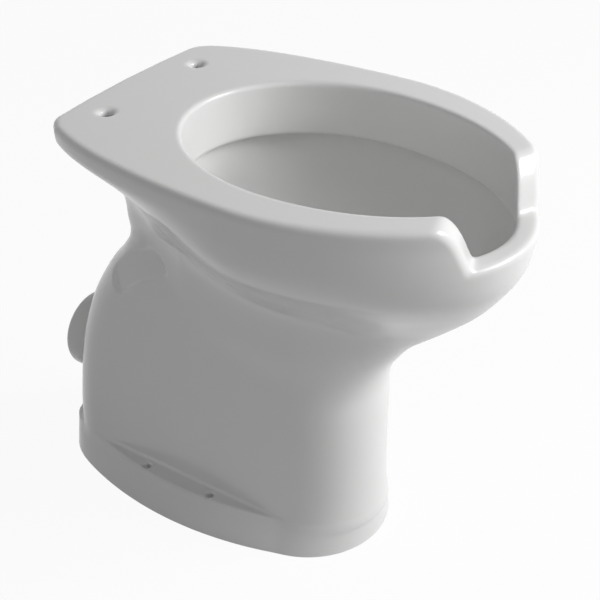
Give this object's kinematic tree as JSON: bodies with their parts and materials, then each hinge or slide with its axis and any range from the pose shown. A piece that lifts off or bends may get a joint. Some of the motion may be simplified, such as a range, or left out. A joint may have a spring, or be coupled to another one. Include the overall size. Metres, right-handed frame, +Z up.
{
  "type": "raised accessible toilet pan",
  "caption": "Raised floor-standing toilet pan with an open, lowered rim front, holes for a seat, a horizontal rear outlet and a rear flush inlet, in white glazed china.",
  "frame": {"origin": "on the floor, in the plane of symmetry, midway between the front tip of the rim and the end of the outlet", "axes": "-Y points to the front of the pan, +Z is up, X = 0 is the plane of symmetry"},
  "size_m": [0.36, 0.592, 0.5],
  "materials": {
    "glazed_china": "white vitreous china with a clear glossy glaze",
    "glazed_china_inner": "white vitreous china, glazed inside the water ways"
  },
  "bodies": {
    "root": {"rim_ring": "glazed_china", "rim_channel_floor": "glazed_china_inner", "channel_stops": "glazed_china_inner", "bowl_basin": "glazed_china", "sump_well": "glazed_china_inner", "rear_housing": "glazed_china", "flush_inlet_socket": "glazed_china", "flush_divider": "glazed_china_inner", "pedestal": "glazed_china", "foot_ring": "glazed_china", "trapway_riser": "glazed_china_inner", "trapway_fall": "glazed_china_inner", "outlet_spigot": "glazed_china"}
  },
  "joints": []
}
